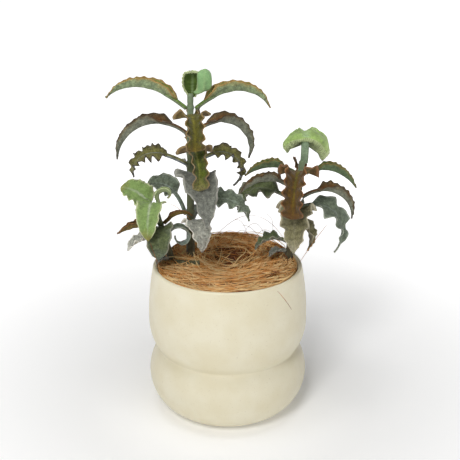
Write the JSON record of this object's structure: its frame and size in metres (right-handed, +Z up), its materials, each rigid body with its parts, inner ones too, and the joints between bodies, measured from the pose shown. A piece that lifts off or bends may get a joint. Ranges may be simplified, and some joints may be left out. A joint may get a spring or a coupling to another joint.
{
  "type": "potted kalanchoe",
  "caption": "Potted felt-leaved kalanchoe: arching gutter-shaped leaves in crossed pairs on upright stems, in a round cream ceramic pot with coir mulch.",
  "frame": {"origin": "middle of the flat foot that the pot stands on", "axes": "+Z up the pot's axis; -Y is the side that the front leaves droop towards"},
  "size_m": [0.1967, 0.1428, 0.2748],
  "materials": {
    "pot_ceramic": "satin",
    "potting_mix": "matte",
    "coir": "matte",
    "old_bark": "matte",
    "stem_felt": "matte",
    "green_leaf": "matte",
    "grey_leaf": "matte",
    "brown_leaf": "matte"
  },
  "bodies": {
    "root": {"coir_mulch": "coir", "left_leaf_1_back": "green_leaf", "left_leaf_1_front": "green_leaf", "left_leaf_2_left": "brown_leaf", "left_leaf_2_right": "green_leaf", "left_leaf_3_left": "grey_leaf", "left_leaf_3_right": "brown_leaf", "left_leaf_4_front": "grey_leaf", "left_leaf_4_right": "grey_leaf", "left_leaf_5_front": "grey_leaf", "left_stem": "stem_felt", "old_stem": "old_bark", "pot": "pot_ceramic", "potting_mix": "potting_mix", "right_leaf_1_back": "green_leaf", "right_leaf_2_left": "green_leaf", "right_leaf_2_right": "green_leaf", "right_leaf_3_back": "brown_leaf", "right_leaf_3_front": "brown_leaf", "right_leaf_4_left": "grey_leaf", "right_leaf_4_right": "grey_leaf", "right_leaf_5_left": "grey_leaf", "right_leaf_5_right": "grey_leaf", "right_leaf_6_back": "grey_leaf", "right_leaf_6_front": "grey_leaf", "right_leaf_7_left": "grey_leaf", "right_leaf_7_right": "grey_leaf", "right_leaf_8_left": "grey_leaf", "right_stem": "stem_felt", "tall_bud_back": "green_leaf", "tall_bud_front": "green_leaf", "tall_leaf_1_left": "green_leaf", "tall_leaf_1_right": "green_leaf", "tall_leaf_2_back": "brown_leaf", "tall_leaf_2_front": "brown_leaf", "tall_leaf_3_left": "grey_leaf", "tall_leaf_3_right": "grey_leaf", "tall_leaf_4_back": "green_leaf", "tall_leaf_4_front": "green_leaf", "tall_leaf_5_left": "brown_leaf", "tall_leaf_5_right": "brown_leaf", "tall_leaf_6_back": "grey_leaf", "tall_leaf_6_front": "grey_leaf", "tall_leaf_7_left": "grey_leaf", "tall_leaf_7_right": "grey_leaf", "tall_leaf_8_back": "grey_leaf", "tall_leaf_8_front": "grey_leaf", "tall_stem": "stem_felt"}
  },
  "joints": []
}
